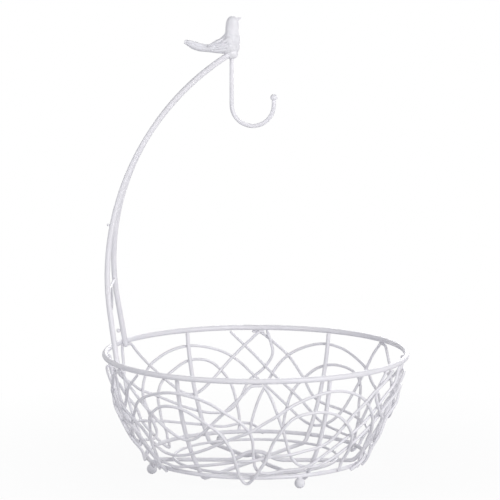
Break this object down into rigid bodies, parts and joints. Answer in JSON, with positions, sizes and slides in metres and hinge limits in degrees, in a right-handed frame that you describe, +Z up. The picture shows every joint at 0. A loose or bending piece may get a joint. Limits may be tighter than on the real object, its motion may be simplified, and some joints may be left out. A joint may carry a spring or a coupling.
{
  "type": "fruit bowl with banana hanger",
  "caption": "Round wire fruit bowl of looping rods on ball feet, with a curved double arm that carries a banana hook and a small bird.",
  "frame": {"origin": "on the table, on the axis of the bowl's rings", "axes": "+Z up along the bowl's axis, -Y towards the viewer of the picture, +X to the viewer's right; the hanger's arm rises on the -X side"},
  "size_m": [0.28, 0.2831, 0.4123],
  "materials": {
    "wire_coat": "white powder coat on steel wire, low gloss",
    "cast_coat": "white powder coat on cast metal, low gloss"
  },
  "bodies": {
    "root": {"rim": "wire_coat", "base_ring": "wire_coat", "floor_ring": "wire_coat", "rib_1": "wire_coat", "rib_2": "wire_coat", "rib_3": "wire_coat", "vee_wire_1": "wire_coat", "vee_wire_2": "wire_coat", "vee_wire_3": "wire_coat", "sweep_wire_1": "wire_coat", "sweep_wire_2": "wire_coat", "sweep_wire_3": "wire_coat", "arch_wire_1": "wire_coat", "arch_wire_2": "wire_coat", "arch_wire_3": "wire_coat", "drape_wire_1": "wire_coat", "drape_wire_2": "wire_coat", "drape_wire_3": "wire_coat", "inner_wire_1": "wire_coat", "inner_wire_2": "wire_coat", "inner_wire_3": "wire_coat", "foot_1": "cast_coat", "foot_2": "cast_coat", "foot_3": "cast_coat", "foot_4": "cast_coat", "arm_rod_front": "wire_coat", "arm_rod_back": "wire_coat", "hook": "wire_coat", "hook_ball_tip": "cast_coat", "bird": "cast_coat", "brace": "wire_coat", "leaf": "cast_coat", "berry_large": "cast_coat", "berry_small": "cast_coat"}
  },
  "joints": []
}
